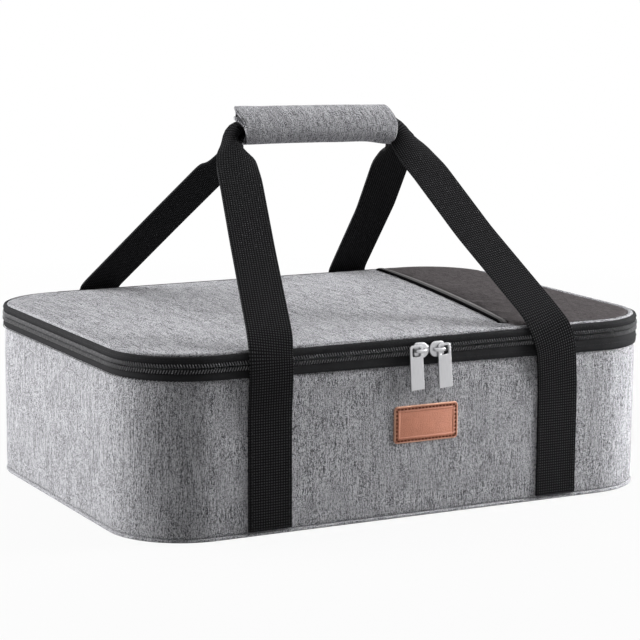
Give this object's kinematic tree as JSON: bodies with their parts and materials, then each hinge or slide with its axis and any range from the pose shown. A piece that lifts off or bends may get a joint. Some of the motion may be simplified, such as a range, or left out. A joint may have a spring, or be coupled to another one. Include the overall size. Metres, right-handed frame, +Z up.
{
  "type": "casserole carrier",
  "caption": "Insulated rectangular casserole carrier with a zipped hinged lid, mesh lid pocket, webbing handles held by a padded wrap grip and a foil-lined tub.",
  "frame": {"origin": "middle of the base panel, on the surface that the carrier stands on", "axes": "+X along the length to the right of the zip side, -Y towards the zip side, +Z up"},
  "size_m": [0.424, 0.3153, 0.2785],
  "materials": {
    "heather_cloth": "woven heather grey polyester",
    "foam": "closed-cell foam sheet",
    "foil": "aluminised film liner",
    "black_tape": "black woven zip tape",
    "zip_coil": "black nylon coil",
    "webbing": "black ribbed webbing",
    "leather": "tan leatherette",
    "pocket_mesh": "fine dark mesh",
    "elastic_binding": "elastic binding",
    "fastening_tape": "hook and loop tape",
    "satin_metal": "satin nickel"
  },
  "bodies": {
    "tub": {"base_panel": "heather_cloth", "base_binding": "heather_cloth", "base_foam": "foam", "wall_shell": "heather_cloth", "wall_foam": "foam", "foil_liner": "foil", "body_zip_tape": "black_tape", "body_zip_row": "zip_coil", "hinge_gusset": "black_tape", "front_left_strap_base": "webbing", "front_right_strap_base": "webbing", "rear_left_strap_base": "webbing", "rear_right_strap_base": "webbing", "leather_patch": "leather"},
    "lid": {"lid_panel": "heather_cloth", "lid_foam": "foam", "lid_liner": "foil", "lid_piping": "heather_cloth", "lid_zip_tape": "black_tape", "lid_zip_row": "zip_coil", "mesh_pocket": "pocket_mesh", "pocket_binding": "elastic_binding"},
    "front_handle": {"front_strap": "webbing"},
    "rear_handle": {"rear_strap": "webbing", "grip_wrap": "heather_cloth", "grip_loop_strip": "fastening_tape"},
    "grip_flap": {"grip_flap": "heather_cloth", "grip_hook_strip": "fastening_tape"},
    "left_slider": {"left_slider": "satin_metal"},
    "right_slider": {"right_slider": "satin_metal"},
    "left_pull": {"left_pull": "satin_metal"},
    "right_pull": {"right_pull": "satin_metal"}
  },
  "joints": [
    {"name": "lid_hinge", "type": "hinge", "parent": "tub", "child": "lid", "pos_m": [0, 0.1532, 0.1194], "axis": [-1, 0, 0], "range_deg": [0, 105], "deforming": ["hinge_gusset"]},
    {"name": "front_handle_fold", "type": "hinge", "parent": "tub", "child": "front_handle", "pos_m": [0, -0.1522, 0.088], "axis": [1, 0, 0], "range_deg": [0, 148], "deforming": ["front_strap"]},
    {"name": "rear_handle_fold", "type": "hinge", "parent": "tub", "child": "rear_handle", "pos_m": [0, 0.1522, 0.088], "axis": [-1, 0, 0], "range_deg": [0, 148], "deforming": ["rear_strap"]},
    {"name": "grip_flap_hinge", "type": "hinge", "parent": "rear_handle", "child": "grip_flap", "pos_m": [0, -0.0155, 0.26315], "axis": [1, 0, 0], "range_deg": [0, 130]},
    {"name": "left_slider_slide", "type": "slide", "parent": "tub", "child": "left_slider", "axis": [-1, 0, 0], "range_m": [0, 0.06]},
    {"name": "right_slider_slide", "type": "slide", "parent": "tub", "child": "right_slider", "axis": [1, 0, 0], "range_m": [0, 0.045]},
    {"name": "left_pull_swing", "type": "hinge", "parent": "left_slider", "child": "left_pull", "pos_m": [-0.00395, -0.156, 0.1194], "axis": [0, 1, 0], "range_deg": [-11, 85]},
    {"name": "right_pull_swing", "type": "hinge", "parent": "right_slider", "child": "right_pull", "pos_m": [0.01875, -0.156, 0.1194], "axis": [0, -1, 0], "range_deg": [-11, 85]}
  ],
  "couplings": [
    {"joint": "front_handle_fold", "follows": "lid_hinge", "ratio": 1.4},
    {"joint": "rear_handle_fold", "follows": "lid_hinge", "ratio": 1.4}
  ]
}
